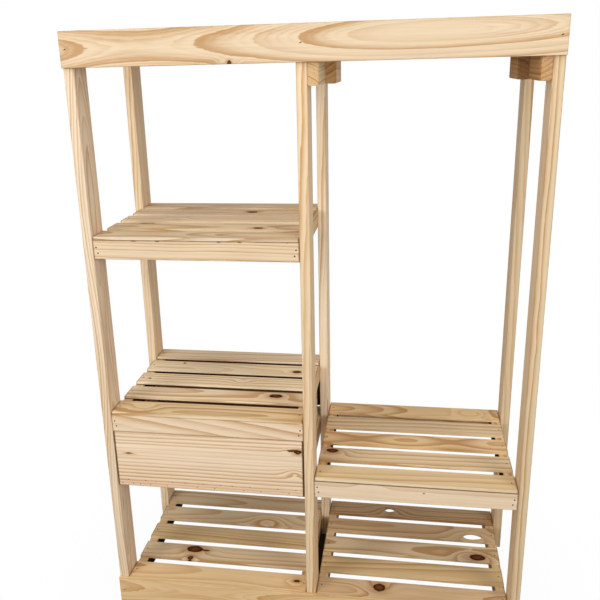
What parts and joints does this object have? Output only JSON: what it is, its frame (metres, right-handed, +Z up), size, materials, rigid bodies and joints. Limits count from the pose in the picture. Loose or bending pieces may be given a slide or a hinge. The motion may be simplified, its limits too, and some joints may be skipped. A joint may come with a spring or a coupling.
{
  "type": "open-front wardrobe",
  "caption": "Open-front pine wardrobe with slatted shelves and a sliding drawer beside a tall hanging bay with a rod above a seat-height shelf.",
  "frame": {"origin": "on the floor, under the middle of the wardrobe's outer box", "axes": "+Z up, +X to the right seen from the open front, +Y from the front to the back, so the front faces -Y"},
  "size_m": [1.22, 0.497, 1.717],
  "materials": {
    "timber_pine": "planed bare pine timber",
    "board_pine": "planed bare pine board, pale face",
    "slat_pine": "planed bare knotty pine slat",
    "rod_wood": "smooth turned wooden rod",
    "nail_steel": "dull steel wire nail"
  },
  "bodies": {
    "frame": {"bottom_front_rail": "board_pine", "bottom_left_shelf_cleats": "timber_pine", "bottom_left_shelf_slat_1": "slat_pine", "bottom_left_shelf_slat_2": "slat_pine", "bottom_left_shelf_slat_3": "slat_pine", "bottom_left_shelf_slat_4": "slat_pine", "bottom_left_shelf_slat_5": "slat_pine", "bottom_right_shelf_cleats": "timber_pine", "bottom_right_shelf_slat_1": "slat_pine", "bottom_right_shelf_slat_2": "slat_pine", "bottom_right_shelf_slat_3": "slat_pine", "bottom_right_shelf_slat_4": "slat_pine", "bottom_right_shelf_slat_5": "slat_pine", "drawer_runners": "timber_pine", "frame_nails": "nail_steel", "hanging_rod": "rod_wood", "left_front_post": "timber_pine", "left_rear_post": "timber_pine", "left_rod_block": "timber_pine", "left_rod_stretcher": "timber_pine", "lower_left_shelf_cleats": "timber_pine", "lower_left_shelf_front_apron": "board_pine", "lower_left_shelf_rear_apron": "board_pine", "lower_left_shelf_slat_1": "slat_pine", "lower_left_shelf_slat_2": "slat_pine", "lower_left_shelf_slat_3": "slat_pine", "lower_left_shelf_slat_4": "slat_pine", "lower_left_shelf_slat_5": "slat_pine", "middle_front_post": "timber_pine", "middle_rear_post": "timber_pine", "right_front_post": "timber_pine", "right_rear_post": "timber_pine", "right_rod_block": "timber_pine", "right_rod_stretcher": "timber_pine", "seat_shelf_cleats": "timber_pine", "seat_shelf_front_apron": "board_pine", "seat_shelf_rear_apron": "board_pine", "seat_shelf_slat_1": "slat_pine", "seat_shelf_slat_2": "slat_pine", "seat_shelf_slat_3": "slat_pine", "seat_shelf_slat_4": "slat_pine", "seat_shelf_slat_5": "slat_pine", "top_deck_cleats": "timber_pine", "top_deck_slats": "slat_pine", "top_front_rail": "board_pine", "upper_left_shelf_cleats": "timber_pine", "upper_left_shelf_front_apron": "board_pine", "upper_left_shelf_rear_apron": "board_pine", "upper_left_shelf_slat_1": "slat_pine", "upper_left_shelf_slat_2": "slat_pine", "upper_left_shelf_slat_3": "slat_pine", "upper_left_shelf_slat_4": "slat_pine", "upper_left_shelf_slat_5": "slat_pine"},
    "drawer": {"drawer_back": "board_pine", "drawer_bottom": "board_pine", "drawer_front": "board_pine", "drawer_left_side": "board_pine", "drawer_lip_batten": "board_pine", "drawer_nails": "nail_steel", "drawer_right_side": "board_pine"}
  },
  "joints": [
    {"name": "drawer_slide", "type": "slide", "parent": "frame", "child": "drawer", "axis": [0, -1, 0], "range_m": [0, 0.26]}
  ]
}
